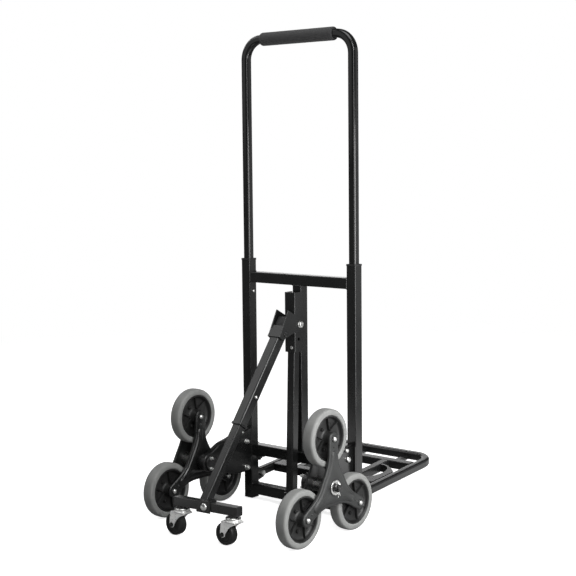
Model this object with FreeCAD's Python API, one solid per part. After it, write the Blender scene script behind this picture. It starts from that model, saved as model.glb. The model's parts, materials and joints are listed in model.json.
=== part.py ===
import FreeCAD, Part
import math
import os

V = FreeCAD.Vector
OX, OY, OZ = V(1, 0, 0), V(0, 1, 0), V(0, 0, 1)
SIDES = (("left", -1), ("right", 1))

# Millimetres. +X is the trolley's width, +Y points from the user towards the toe plate, +Z is up.
# Parts are laid out with the posts on y = 0 and moved by Y_SHIFT so the box is centred on the origin.
Y_SHIFT = 17.10

# Outer posts and crossbars: square tube
POST_X = 157.5
POST = 25.0
POST_WALL = 1.5
POST_BOTTOM, POST_TOP = 5.0, 580.0
CORNER = 2.0
BAR_Z = (25.5, 123.0, 540.0)
FACE = POST / 2

# Handle: one bent square tube that slides inside the posts
LEG = 20.0
LEG_WALL = 1.5
LEG_BOTTOM = 470.0
HANDLE_Z = 1096.0
HANDLE_BEND = 46.0
GRIP_D, GRIP_L = 31.0, 212.0
SLIDER_H = 22.0
BUTTON_R, BUTTON_PROUD, BUTTON_Z = 3.9, 3.5, 506.0

# Centre post, rear tube and strut bracket
BRACKET_Z = (375.0, 514.0)
BRACKET_W, BRACKET_T, BRACKET_REAR = 30.0, 2.5, -38.0
REAR_TUBE = 20.0
REAR_TOP = (-23.4, 424.0)
REAR_FOOT = (-37.6, 24.0)
LOCK_HOLE, LOCK_HOLE_R = (-24.0, 405.0), 4.0
WEB_BOLT_X = 5.5

# Strut: outer tube on a pivot, inner tube telescoping in it, cross bar with two casters
PIVOT_Y, PIVOT_Z, PIVOT_R = -23.0, 440.0, 5.0
STRUT_TOP = (-53.0, 451.0)
STRUT_LEAN = 36.8
STRUT_OUT_L = 273.0
STRUT_IN_FROM = 145.0
STRUT_BUTTON_S = 200.0
TBAR_Y, TBAR_Z, TBAR, TBAR_HALF = -332.0, 78.0, 20.0, 84.0
TBAR_ASIDE, TBAR_TURN = 10.0, 5.0

# Casters
CASTER_X, CASTER_R, CASTER_W, CASTER_TRAIL = 70.0, 25.0, 19.0, 20.0
STEM_R = 5.0
RUN = 0.05

# Star wheels: two plates on a stub axle, three wheels between them
WHEEL_R, WHEEL_W, TREAD_SHOULDER = 63.5, 28.0, 7.0
CORE_R = 50.0
STAR_R = 105.7
AXLE_Y = -158.8
AXLE_Z = WHEEL_R + STAR_R / 2
AXLE_R, AXLE_END_R = 8.0, 5.5
WHEEL_X = 197.5
PLATE_T = 3.0
PLATE_IN, PLATE_OUT = 172.5, 219.0
SLEEVE_R, WHEEL_BOLT_R = 6.0, 4.95
ARM_IN, ARM_OUT, ARM_T, ARM_END_R = 145.0, 163.0, 3.0, 21.0
ARM_BOLTS = ((-32.0, 82.0), (-32.0, 145.0), (-40.0, 167.0))

# Toe plate: square tube frame, hinged on brackets in front of the posts
TOE_Y, TOE_Z, TOE_TILT = 27.0, 56.4, 5.2
TOE_X, TOE_TUBE, TOE_WALL = 160.0, 20.0, 1.5
TOE_FRONT, TOE_BEND, TOE_TAIL = 286.0, 46.0, 8.0
TOE_REAR_BAR, TOE_MID_BAR, TOE_LONG_X = 58.0, 210.0, 80.0
TOE_RIB_X, TOE_RIB_W = (-40.0, 87.0), 12.0
HINGE_R = 4.0

PARTS = []


def box(x0, x1, y0, y1, z0, z1):
    x0, x1 = sorted((x0, x1))
    y0, y1 = sorted((y0, y1))
    z0, z1 = sorted((z0, z1))
    return Part.makeBox(x1 - x0, y1 - y0, z1 - z0, V(x0, y0, z0))


def rod(r, start, end):
    """Round bar between two points."""
    a, b = V(*start), V(*end)
    return Part.makeCylinder(r, (b - a).Length, a, b - a)


def ring(r_out, r_in, start, end):
    return rod(r_out, start, end).cut(rod(r_in, start, end))


def hexagon(flats, start, end):
    """Hexagonal prism between two points."""
    a, b = V(*start), V(*end)
    n = (b - a).normalize()
    u = n.cross(OZ if abs(n.z) < 0.9 else OX).normalize()
    w = n.cross(u)
    r = flats / math.sqrt(3)
    ang = [math.radians(60 * k) for k in range(7)]
    pts = [a + u * (r * math.cos(t)) + w * (r * math.sin(t)) for t in ang]
    return Part.Face(Part.makePolygon(pts)).extrude(V(*end) - a)


def rounded(shape, r, along):
    edges = [e for e in shape.Edges if e.Curve.TypeId == "Part::GeomLine"
             and abs(abs(e.tangentAt(e.FirstParameter).dot(along)) - 1) < 1e-6]
    return shape.makeFillet(r, edges)


def section(size, wall):
    """Square tube profile with rounded corners, in the XY plane."""
    def plate(a, r):
        face = rounded(box(-a / 2, a / 2, -a / 2, a / 2, 0, 1), r, OZ)
        return [f for f in face.Faces if abs(f.CenterOfMass.z) < 1e-6][0]
    return plate(size, CORNER).cut(plate(size - 2 * wall, max(CORNER - wall, 0.4))).Faces[0]


def tube(size, wall, start, end):
    """Straight square tube between two points on the YZ plane's directions or along an axis."""
    a, b = V(*start), V(*end)
    s = section(size, wall).extrude(V(0, 0, (b - a).Length))
    s.Placement = FreeCAD.Placement(a, FreeCAD.Rotation(OZ, b - a))
    return s


def fuse(shapes):
    out = shapes[0].fuse(list(shapes[1:])) if len(shapes) > 1 else shapes[0]
    out = out.removeSplitter()
    return out.Solids[0] if len(out.Solids) == 1 else out


def mirrored(shape):
    return [shape, shape.mirror(V(0, 0, 0), OX)]


def bent_u(size, wall, x, length, bend):
    """Bent tube in the XY plane: legs along +Y from y = 0, front run centred at y = length."""
    face = section(size, wall)
    leg = face.copy()
    leg.Placement = FreeCAD.Placement(V(x, 0, 0), FreeCAD.Rotation(OX, -90))
    straight = leg.extrude(V(0, length - bend, 0))
    end = leg.copy()
    end.translate(V(0, length - bend, 0))
    curve = end.revolve(V(x - bend, length - bend, 0), OZ, 90)
    run = face.copy()
    run.Placement = FreeCAD.Placement(V(-(x - bend), length, 0), FreeCAD.Rotation(OY, 90))
    run = run.extrude(V(2 * (x - bend), 0, 0))
    half = [straight, curve]
    return fuse(half + [s.mirror(V(0, 0, 0), OX) for s in half] + [run])


def hull(p, rp, q, rq):
    """Outline polygon of two circles and their common tangents, as (a, b) pairs."""
    dx, dy = q[0] - p[0], q[1] - p[1]
    base = math.atan2(dy, dx)
    off = math.acos((rp - rq) / math.hypot(dx, dy))
    pts = []
    for (c, r, t0, t1) in ((q, rq, base - off, base + off), (p, rp, base + off, base - off + 2 * math.pi)):
        for k in range(13):
            t = t0 + (t1 - t0) * k / 12
            pts.append((c[0] + r * math.cos(t), c[1] + r * math.sin(t)))
    return pts


def slab(points, x0, x1):
    """Outline of (y, z) pairs, extruded from x0 to x1."""
    pts = [V(min(x0, x1), y, z) for y, z in points]
    return Part.Face(Part.makePolygon(pts + pts[:1])).extrude(V(abs(x1 - x0), 0, 0))


def save(node, solids):
    if not isinstance(solids, (list, tuple)):
        solids = [solids]
    flat = [s for shape in solids for s in shape.Solids]
    for s in flat:
        s.translate(V(0, Y_SHIFT, 0))
    PARTS.append((node, flat[0] if len(flat) == 1 else Part.makeCompound(flat)))


# ---------------------------------------------------------------- frame
def build_frame():
    post = tube(POST, POST_WALL, (POST_X, 0, POST_BOTTOM), (POST_X, 0, POST_TOP))
    inner = POST_X - FACE
    post = post.cut(rod(BUTTON_R + 0.1, (inner - 1, 0, BUTTON_Z), (inner + 3, 0, BUTTON_Z)))
    save("outer_posts", mirrored(post))

    bars = [tube(POST, POST_WALL, (-inner, 0, z), (inner, 0, z)) for z in BAR_Z]
    save("crossbars", bars)
    save("centre_post", tube(POST, POST_WALL, (0, 0, BAR_Z[1] + FACE), (0, 0, BAR_Z[2] - FACE)))

    collar = rounded(box(POST_X - 13.4, POST_X + 13.4, -13.4, 13.4, POST_TOP, POST_TOP + 4), 3, OZ)
    sleeve = box(POST_X - 10.8, POST_X + 10.8, -10.8, 10.8, POST_TOP - 20, POST_TOP)
    bore = LEG / 2 + 0.35
    hole = box(POST_X - bore, POST_X + bore, -bore, bore, POST_TOP - 30, POST_TOP + 30)
    save("post_collars", mirrored(fuse([collar, sleeve]).cut(hole)))

    plug = box(POST_X - 10.8, POST_X + 10.8, -10.8, 10.8, POST_BOTTOM, POST_BOTTOM + 12)
    foot = rounded(box(POST_X - FACE, POST_X + FACE, -FACE, FACE, POST_BOTTOM - 3, POST_BOTTOM), 2, OZ)
    save("post_plugs", mirrored(fuse([plug, foot])))

    w, t = BRACKET_W / 2, BRACKET_T
    z0, z1 = BRACKET_Z
    channel = box(-w, w, BRACKET_REAR, -FACE, z0, z1)
    channel = channel.cut(box(-w + t, w - t, BRACKET_REAR + t, -FACE, z0, z1))
    channel = rounded_rear(channel, w, z0, z1)
    channel = channel.cut(rod(PIVOT_R + RUN, (-w - 1, PIVOT_Y, PIVOT_Z), (w + 1, PIVOT_Y, PIVOT_Z)))
    channel = channel.cut(rod(LOCK_HOLE_R, (-w - 1, *LOCK_HOLE), (w + 1, *LOCK_HOLE)))
    channel = channel.cut(rod(3, (WEB_BOLT_X, BRACKET_REAR - 1, 386), (WEB_BOLT_X, BRACKET_REAR + t + 1, 386)))
    save("strut_bracket", channel)

    rear = tube(REAR_TUBE, 1.5, (0,) + REAR_FOOT, (0,) + REAR_TOP)
    rear = rear.cut(rod(3, (-11, REAR_FOOT[0] + 0.5, 34), (11, REAR_FOOT[0] + 0.5, 34)))
    rear = rear.cut(rod(3, (WEB_BOLT_X, -60, 386), (WEB_BOLT_X, -16, 386)))
    rear = rear.cut(rod(LOCK_HOLE_R, (-11, *LOCK_HOLE), (11, *LOCK_HOLE)))
    save("rear_tube", rear)

    plate = box(-22, 22, -FACE - 2.5, -FACE, 9, 44)
    ears = [box(s * 10.4, s * 12.9, -50, -FACE - 2.5, 9, 44) for s in (-1, 1)]
    foot = fuse([plate] + ears)
    foot = foot.cut(rod(3, (-14, REAR_FOOT[0] + 0.5, 34), (14, REAR_FOOT[0] + 0.5, 34)))
    save("rear_tube_foot", foot)


def rounded_rear(channel, w, z0, z1):
    """Round the two outside bends of the strut bracket."""
    edges = [e for e in channel.Edges if e.Length > z1 - z0 - 1
             and abs(e.CenterOfMass.y - BRACKET_REAR) < 0.1 and abs(abs(e.CenterOfMass.x) - w) < 0.1]
    return channel.makeFillet(2.0, edges)


def build_arms():
    """Channel arms from the posts back to the stub axles, with axles and fasteners."""
    hub = (AXLE_Y, AXLE_Z)
    outline = [(-FACE, 74), (-FACE, 177), (-44, 177), (-60, 169), (-89, 161), (-119, 155), (-143, 143)]
    arc = [math.radians(a) for a in range(75, 285, 15)]
    outline += [(hub[0] + ARM_END_R * math.cos(a), hub[1] + ARM_END_R * math.sin(a)) for a in arc]
    outline += [(-139, 93), (-104, 80), (-64, 72), (-28, 71.5)]
    body = slab(outline, ARM_IN, ARM_OUT)
    pocket = slab([(y, z - ARM_T) for y, z in outline], ARM_IN + ARM_T, ARM_OUT - ARM_T)
    rear = box(ARM_IN - 1, ARM_OUT + 1, -FACE - ARM_T, 0, 0, 400)
    arm = body.cut(pocket.cut(rear))
    boss = rod(17, (ARM_IN + 1, *hub), (ARM_OUT + 6, *hub))
    base = box(ARM_IN, POST_X + FACE, -FACE - ARM_T, -FACE, 74, 177)
    arm = fuse([arm, boss, base])
    arm = arm.cut(rod(AXLE_R + RUN, (ARM_IN - 1, *hub), (ARM_OUT + 8, *hub)))
    for c in ARM_BOLTS:
        arm = arm.cut(rod(4, (ARM_IN - 1, *c), (ARM_OUT + 1, *c)))
    flange_bolts = [(AXLE_Y - 3, AXLE_Z + s * 12.5) for s in (-1, 1)]
    for y, z in flange_bolts:
        arm = arm.cut(rod(3, (ARM_IN - 1, y, z), (ARM_IN + 9, y, z)))
    save("axle_arms", mirrored(arm))

    nut_x = PLATE_OUT + PLATE_T + 2.5
    end = nut_x + 13.5
    axle = fuse([rod(AXLE_R, (ARM_IN - 3, *hub), (nut_x - 0.2, *hub)),
                 rod(AXLE_END_R, (nut_x - 1, *hub), (end, *hub))])
    flange = slab(hull((AXLE_Y, AXLE_Z), 19, (AXLE_Y + 8, AXLE_Z), 19), ARM_IN - 4, ARM_IN - 0.1)
    axle = fuse([axle, flange])
    for y, z in flange_bolts:
        axle = axle.cut(rod(3.1, (ARM_IN - 6, y, z), (ARM_IN + 1, y, z)))
    axle = axle.cut(rod(1.6, (end - 3, AXLE_Y, AXLE_Z - 20), (end - 3, AXLE_Y, AXLE_Z + 20)))
    save("stub_axles", mirrored(axle))

    bolts = []
    for c in ARM_BOLTS:
        bolts.append(fuse([hexagon(13, (ARM_IN - 6.6, *c), (ARM_IN - 1.3, *c)),
                           rod(8, (ARM_IN - 1.5, *c), (ARM_IN - 0.1, *c)),
                           rod(3.9, (ARM_IN - 2, *c), (ARM_OUT + 7.5, *c)),
                           hexagon(13, (ARM_OUT + 0.1, *c), (ARM_OUT + 6.2, *c))]))
    for y, z in flange_bolts:
        bolts.append(fuse([hexagon(8, (ARM_IN - 8.6, y, z), (ARM_IN - 4.1, y, z)),
                           rod(2.9, (ARM_IN - 14, y, z), (ARM_IN + 8, y, z))]))
    save("arm_bolts", [m for b in bolts for m in mirrored(b)])

    washer = ring(16.6, AXLE_END_R + 0.1, (nut_x, *hub), (nut_x + 2.5, *hub))
    nut = fuse([hexagon(17, (nut_x + 2.6, *hub), (nut_x + 8.6, *hub)),
                rod(7.8, (nut_x + 8.6, *hub), (nut_x + 12.4, *hub))])
    nut = nut.cut(rod(AXLE_END_R + 0.1, (nut_x, *hub), (nut_x + 20, *hub)))
    for k in range(3):
        slot = box(nut_x + 8.8, nut_x + 20, -1.8, 1.8, -14, 14)
        slot.rotate(V(0, 0, 0), OX, 60 * k)
        slot.translate(V(0, AXLE_Y, AXLE_Z))
        nut = nut.cut(slot)
    thrust = ring(15, AXLE_R + 0.1, (ARM_OUT + 6.2, *hub), (ARM_OUT + 7.8, *hub))
    save("axle_nuts", [m for s in (washer, nut, thrust) for m in mirrored(s)])
    pin = rod(1.5, (end - 3, AXLE_Y, AXLE_Z - 13), (end - 3, AXLE_Y, AXLE_Z + 12))
    eye = Part.makeTorus(2.6, 1.4, V(end - 3, AXLE_Y, AXLE_Z + 14), OX)
    save("cotter_pins", mirrored(fuse([pin, eye])))


# ---------------------------------------------------------------- handle and snap buttons
def build_handle():
    u = bent_u(LEG, LEG_WALL, POST_X, HANDLE_Z - LEG_BOTTOM, HANDLE_BEND)
    u.rotate(V(0, 0, 0), OX, 90)
    u.translate(V(0, 0, LEG_BOTTOM))
    inner = POST_X - LEG / 2
    for s in (-1, 1):
        u = u.cut(rod(BUTTON_R + 0.5, (s * (inner - 1), 0, BUTTON_Z), (s * (inner + 4), 0, BUTTON_Z)))
    save("handle_tube", u)
    grip = rod(GRIP_D / 2, (-GRIP_L / 2, 0, HANDLE_Z), (GRIP_L / 2, 0, HANDLE_Z))
    grip = grip.makeFillet(4, [e for e in grip.Edges if e.Closed])
    h = LEG / 2 + 0.05
    core = rounded(box(-GRIP_L, GRIP_L, -h, h, HANDLE_Z - h, HANDLE_Z + h), CORNER, OX)
    save("handle_grip", grip.cut(core))
    w = POST / 2 - POST_WALL - 0.3
    z0 = LEG_BOTTOM - 8
    slider = box(POST_X - w, POST_X + w, -w, w, z0, z0 + 8)
    shank = box(POST_X - 8.2, POST_X + 8.2, -8.2, 8.2, z0 + 8, z0 + SLIDER_H)
    save("leg_sliders", mirrored(fuse([slider, shank])))


def button(x_face, inward, y, z):
    """Snap button standing proud of a tube face; inward is the sign of X towards the tube."""
    tip = x_face - inward * BUTTON_PROUD
    b = rod(BUTTON_R, (tip, y, z), (x_face + inward * (POST_WALL + 0.7), y, z))
    rim = [e for e in b.Edges if e.Closed and abs(e.CenterOfMass.x - tip) < 0.01]
    return b.makeFillet(2.2, rim)


def build_buttons():
    for name, s in SIDES:
        save("snap_button_" + name, button(s * (POST_X - FACE), s, 0, BUTTON_Z))
    y, z = on_strut(STRUT_BUTTON_S)
    save("strut_button", button(FACE, -1, y, z))


# ---------------------------------------------------------------- strut
def on_strut(s):
    a = math.radians(STRUT_LEAN)
    return STRUT_TOP[0] - s * math.sin(a), STRUT_TOP[1] - s * math.cos(a)


def lean(shape):
    """Turn a shape built down the -Z axis from the origin onto the strut's line."""
    shape.rotate(V(0, 0, 0), OX, -STRUT_LEAN)
    shape.translate(V(0, *STRUT_TOP))
    return shape


def build_strut():
    outer = tube(POST, POST_WALL, (0, 0, -STRUT_OUT_L), (0, 0, 0))
    outer = outer.cut(rod(BUTTON_R + 0.1, (8, 0, -STRUT_BUTTON_S), (14, 0, -STRUT_BUTTON_S)))
    outer = outer.cut(rod(4, (-20, 0, -36), (20, 0, -36)))
    save("strut_tube", lean(outer))
    cap = rounded(box(-13, 13, -13, 13, 0, 6), 3, OZ)
    save("strut_cap", lean(fuse([cap, box(-10.8, 10.8, -10.8, 10.8, -14, 0)])))

    w = BRACKET_W / 2 + 0.5
    t = BRACKET_T
    y36, z36 = on_strut(36)
    ear = [(-64, 476), (-93, 421), (-84, 410)] + [
        (PIVOT_Y + 13 * math.cos(math.radians(a)), PIVOT_Z + 13 * math.sin(math.radians(a)))
        for a in range(-100, 81, 15)]
    clevis = [slab(ear, s * w, s * (w + t)) for s in (-1, 1)]
    web = lean(box(-w - t, w + t, -FACE - t, -FACE, -52, -22))
    clevis = fuse(clevis + [web.copy()] + [lean(box(s * w, s * (w + t), -FACE - t, 4, -52, -22))
                                           for s in (-1, 1)])
    clevis = clevis.cut(rod(PIVOT_R + RUN, (-30, PIVOT_Y, PIVOT_Z), (30, PIVOT_Y, PIVOT_Z)))
    clevis = clevis.cut(rod(4, (-30, y36, z36), (30, y36, z36)))
    save("strut_clevis", clevis)
    bolt = [rod(6, (w + t + 0.1, y36, z36), (w + t + 2.6, y36, z36)),
            rod(6, (-w - t - 2.6, y36, z36), (-w - t - 0.1, y36, z36)),
            rod(3.9, (-w - t - 1, y36, z36), (w + t + 1, y36, z36))]
    save("strut_bolt", fuse(bolt))

    p = (PIVOT_Y, PIVOT_Z)
    pivot = [rod(PIVOT_R, (-w - t - 9, *p), (w + t + 1, *p)),
             hexagon(13, (w + t + 2, *p), (w + t + 6, *p)), rod(7.8, (w + t + 0.4, *p), (w + t + 2, *p)),
             hexagon(13, (-w - t - 8, *p), (-w - t - 2, *p)), rod(7.8, (-w - t - 2, *p), (-w - t - 0.4, *p))]
    web_bolt = [rod(4, (WEB_BOLT_X, BRACKET_REAR - 2.5, 386), (WEB_BOLT_X, BRACKET_REAR - 0.1, 386)),
                rod(2.9, (WEB_BOLT_X, BRACKET_REAR - 1, 386), (WEB_BOLT_X, -20, 386))]
    fy = REAR_FOOT[0] + 0.5
    foot_bolt = [hexagon(10, (13, fy, 34), (17.5, fy, 34)), hexagon(10, (-18, fy, 34), (-13, fy, 34)),
                 rod(2.9, (-19, fy, 34), (14, fy, 34))]
    save("bracket_bolts", [fuse(pivot), fuse(web_bolt), fuse(foot_bolt)])


def aside(shape):
    """Set the cross bar off centre in its saddle and a little out of square with the frame."""
    shape.rotate(V(0, TBAR_Y, 0), OZ, TBAR_TURN)
    shape.translate(V(TBAR_ASIDE, 0, 0))
    return shape


def build_strut_inner():
    a = math.radians(STRUT_LEAN)
    length = (STRUT_TOP[1] - TBAR_Z) / math.cos(a)
    inner = tube(LEG, LEG_WALL, (0, 0, -length), (0, 0, -STRUT_IN_FROM))
    inner = inner.cut(rod(BUTTON_R + 0.5, (6, 0, -STRUT_BUTTON_S), (11, 0, -STRUT_BUTTON_S)))
    top = TBAR_Z + TBAR / 2 + 2.7
    inner = lean(inner).cut(box(-40, 40, TBAR_Y - 80, TBAR_Y + 60, 0, top))
    save("strut_inner_tube", inner)

    h = TBAR / 2
    bar = tube(TBAR, 1.5, (-TBAR_HALF, TBAR_Y, TBAR_Z), (TBAR_HALF, TBAR_Y, TBAR_Z))
    for x in (-CASTER_X, CASTER_X):
        bar = bar.cut(rod(STEM_R + 0.1, (x, TBAR_Y, TBAR_Z - 12), (x, TBAR_Y, TBAR_Z)))
    bar = bar.cut(rod(4, (0, TBAR_Y - 12, TBAR_Z), (0, TBAR_Y + 12, TBAR_Z)))
    save("t_bar", aside(bar))

    t = 2.5
    saddle = box(-21, 16, TBAR_Y - h - t, TBAR_Y + h + t, TBAR_Z - h - 3, top)
    saddle = saddle.cut(box(-22, 17, TBAR_Y - h - 0.05, TBAR_Y + h + 0.05, 0, TBAR_Z + h + 0.1))
    saddle = saddle.cut(rod(4, (0, TBAR_Y - 20, TBAR_Z), (0, TBAR_Y + 20, TBAR_Z)))
    save("t_bar_saddle", aside(saddle))
    cap = fuse([rounded(box(TBAR_HALF, TBAR_HALF + 3, TBAR_Y - h, TBAR_Y + h, TBAR_Z - h, TBAR_Z + h), 2, OX),
                box(TBAR_HALF - 5, TBAR_HALF, TBAR_Y - 8.2, TBAR_Y + 8.2, TBAR_Z - 8.2, TBAR_Z + 8.2)])
    save("t_bar_caps", [aside(c) for c in mirrored(cap)])

    ends = (TBAR_Y - h - t, TBAR_Y + h + t)
    cross = [rod(3.9, (0, ends[0] - 1, TBAR_Z), (0, ends[1] + 8, TBAR_Z)),
             hexagon(13, (0, ends[0] - 5, TBAR_Z), (0, ends[0] - 0.1, TBAR_Z)),
             hexagon(13, (0, ends[1] + 0.1, TBAR_Z), (0, ends[1] + 6.5, TBAR_Z))]
    stems = []
    for x in (-CASTER_X, CASTER_X):
        c = (x, TBAR_Y)
        stems.append(fuse([rod(STEM_R, (*c, 49.3), (*c, 79)), hexagon(13, (*c, 69.8), (*c, 76)),
                           rod(17, (*c, 61), (*c, 64.5)), rod(10, (*c, 64.5), (*c, 67.9)),
                           rod(8, (*c, 49.3), (*c, 52.2))]))
    save("t_bar_hardware", [aside(b) for b in [fuse(cross)] + stems])


def build_casters():
    """Swivel yokes, axles and wheels, trailing towards -X; the wheel axis lies along Y."""
    turn = math.radians(TBAR_TURN)
    for name, s in SIDES:
        cx, cy = TBAR_ASIDE + s * CASTER_X * math.cos(turn), TBAR_Y + s * CASTER_X * math.sin(turn)
        wx = cx - CASTER_TRAIL
        c = (cx, cy)
        race = fuse([rod(18, (*c, 55), (*c, 58)), rod(15.5, (*c, 58), (*c, 60.5))])
        top = rounded(box(cx - 22, cx + 16, cy - 14.5, cy + 14.5, 52.5, 55), 6, OZ)
        cheeks = []
        for side in (-1, 1):
            outline = [(cx + 12, 53), (cx - 22, 53), (wx - 9, 25), (wx - 5, 18), (wx, 16.2),
                       (wx + 5, 18), (wx + 9, 24), (cx + 4, 38)]
            y = cy + side * 12
            pts = [V(px, min(y, y + side * 2.5), pz) for px, pz in outline]
            cheeks.append(Part.Face(Part.makePolygon(pts + pts[:1])).extrude(V(0, 2.5, 0)))
        yoke = fuse([race, top] + cheeks)
        yoke = yoke.cut(rod(STEM_R + RUN, (*c, 40), (*c, 64)))
        yoke = yoke.cut(rod(4, (wx, cy - 20, CASTER_R), (wx, cy + 20, CASTER_R)))
        save("caster_yoke_" + name, yoke)
        lo, hi = (wx, cy - 14.6, CASTER_R), (wx, cy + 14.6, CASTER_R)
        axle = fuse([rod(3.95, lo, hi), hexagon(11, (wx, lo[1] - 4, CASTER_R), lo),
                     hexagon(11, hi, (wx, hi[1] + 5, CASTER_R))])
        save("caster_axle_" + name, axle)
        wheel = rod(CASTER_R, (wx, cy - CASTER_W / 2, CASTER_R), (wx, cy + CASTER_W / 2, CASTER_R))
        wheel = wheel.makeFillet(3, [e for e in wheel.Edges if e.Closed])
        for side in (-1, 1):
            y = cy + side * CASTER_W / 2
            wheel = wheel.cut(ring(18, 8, (wx, y - side * 3, CASTER_R), (wx, y, CASTER_R)))
        hub = rod(8, (wx, cy - 11.2, CASTER_R), (wx, cy + 11.2, CASTER_R))
        wheel = fuse([wheel, hub]).cut(rod(4.0, (wx, cy - 13, CASTER_R), (wx, cy + 13, CASTER_R)))
        save("caster_wheel_" + name, wheel)


# ---------------------------------------------------------------- star wheels
def wheel_centres():
    return [(AXLE_Y + STAR_R * math.cos(math.radians(a)), AXLE_Z + STAR_R * math.sin(math.radians(a)))
            for a in (90, 210, 330)]


def star_plate(x0, x1):
    arms = [slab(hull((AXLE_Y, AXLE_Z), 30, c, 17), x0, x1) for c in wheel_centres()]
    plate = fuse(arms + [rod(36, (x0, AXLE_Y, AXLE_Z), (x1, AXLE_Y, AXLE_Z))])
    plate = plate.cut(rod(15.05, (x0 - 1, AXLE_Y, AXLE_Z), (x1 + 1, AXLE_Y, AXLE_Z)))
    for c in wheel_centres():
        plate = plate.cut(rod(WHEEL_BOLT_R + 0.05, (x0 - 1, *c), (x1 + 1, *c)))
    for y, z in rivet_centres():
        plate = plate.cut(rod(2.5, (x0 - 1, y, z), (x1 + 1, y, z)))
    return plate


def rivet_centres():
    k = 0.83
    return [(AXLE_Y + k * (y - AXLE_Y), AXLE_Z + k * (z - AXLE_Z)) for y, z in wheel_centres()]


def build_stars():
    hub_c = (AXLE_Y, AXLE_Z)
    for name, s in SIDES:
        def out(shapes):
            return [m if s > 0 else m.mirror(V(0, 0, 0), OX) for m in shapes]
        inner = star_plate(PLATE_IN, PLATE_IN + PLATE_T)
        outer = star_plate(PLATE_OUT, PLATE_OUT + PLATE_T)
        save("star_plates_" + name, out([inner, outer]))
        hub = ring(15, AXLE_R + RUN, (PLATE_IN - 1.2, *hub_c), (PLATE_OUT + PLATE_T + 2, *hub_c))
        save("star_hub_" + name, out([hub]))
        fasteners = []
        for c in wheel_centres():
            x0, x1 = PLATE_IN, PLATE_OUT + PLATE_T
            bolt = [rod(WHEEL_BOLT_R, (x0 - 8, *c), (x1 + 1, *c)), rod(9, (x1 + 0.1, *c), (x1 + 1.6, *c)),
                    hexagon(15, (x1 + 1.6, *c), (x1 + 7.6, *c)),
                    hexagon(15, (x0 - 7.4, *c), (x0 - 1.6, *c)), rod(9, (x0 - 1.6, *c), (x0 - 0.1, *c))]
            sleeve = ring(SLEEVE_R, WHEEL_BOLT_R + 0.05, (x0 + PLATE_T + 0.1, *c), (PLATE_OUT - 0.1, *c))
            fasteners += [fuse(bolt), sleeve]
        for y, z in rivet_centres():
            for x in (PLATE_IN, PLATE_OUT):
                fasteners.append(fuse([rod(2.45, (x - 0.6, y, z), (x + PLATE_T + 0.6, y, z)),
                                       rod(4, (x - 1.6, y, z), (x - 0.1, y, z)),
                                       rod(4, (x + PLATE_T + 0.1, y, z), (x + PLATE_T + 1.6, y, z))]))
        save("star_fasteners_" + name, out(fasteners))
        for k, c in enumerate(wheel_centres(), 1):
            save("tyre_%s_%d" % (name, k), out([tyre(c)]))
            save("core_%s_%d" % (name, k), out([core(c)]))


def turned(points, c):
    """Closed (x, radius) outline turned about the X direction through (y, z) = c."""
    pts = [V(x, c[0], c[1] + r) for x, r in points]
    face = Part.Face(Part.makePolygon(pts + pts[:1]))
    return face.revolve(V(0, c[0], c[1]), OX, 360)


def tyre(c):
    h, w = WHEEL_W / 2, WHEEL_X
    side = [(h - 1.5, CORE_R), (h, CORE_R + 2), (h, CORE_R + 5), (h - 1.2, WHEEL_R - TREAD_SHOULDER),
            (h - 4.5, WHEEL_R - 2.6), (h - 9, WHEEL_R - 0.5), (0, WHEEL_R)]
    pts = [(w + x, r) for x, r in side] + [(w - x, r) for x, r in reversed(side[:-1])]
    return turned(pts, c)


def core(c):
    w = WHEEL_X
    rim = turned([(w - 12, CORE_R - 6), (w + 12, CORE_R - 6), (w + 12.5, CORE_R), (w - 12.5, CORE_R)], c)
    web = ring(CORE_R - 5, 12, (w - 2, *c), (w + 2, *c))
    hub = rod(14, (w - 19, *c), (w + 19, *c))
    ribs = []
    for k in range(3):
        rib = box(w - 9, w + 9, -3, 3, 10, CORE_R - 5)
        rib.rotate(V(0, 0, 0), OX, 120 * k + 30)
        rib.translate(V(0, *c))
        ribs.append(rib)
    body = fuse([rim, web, hub] + ribs)
    for k in range(3):
        a = math.radians(120 * k)
        y, z = c[0] + 27 * math.cos(a), c[1] + 27 * math.sin(a)
        body = body.cut(rod(8, (w - 5, y, z), (w + 5, y, z)))
    return body.cut(rod(SLEEVE_R + RUN, (w - 25, *c), (w + 25, *c)))


# ---------------------------------------------------------------- toe plate
def tilt(shape):
    """Move a shape built flat, with the hinge line on the X axis, to the hinge and its slope."""
    shape.rotate(V(0, 0, 0), OX, TOE_TILT)
    shape.translate(V(0, TOE_Y, TOE_Z))
    return shape


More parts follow.
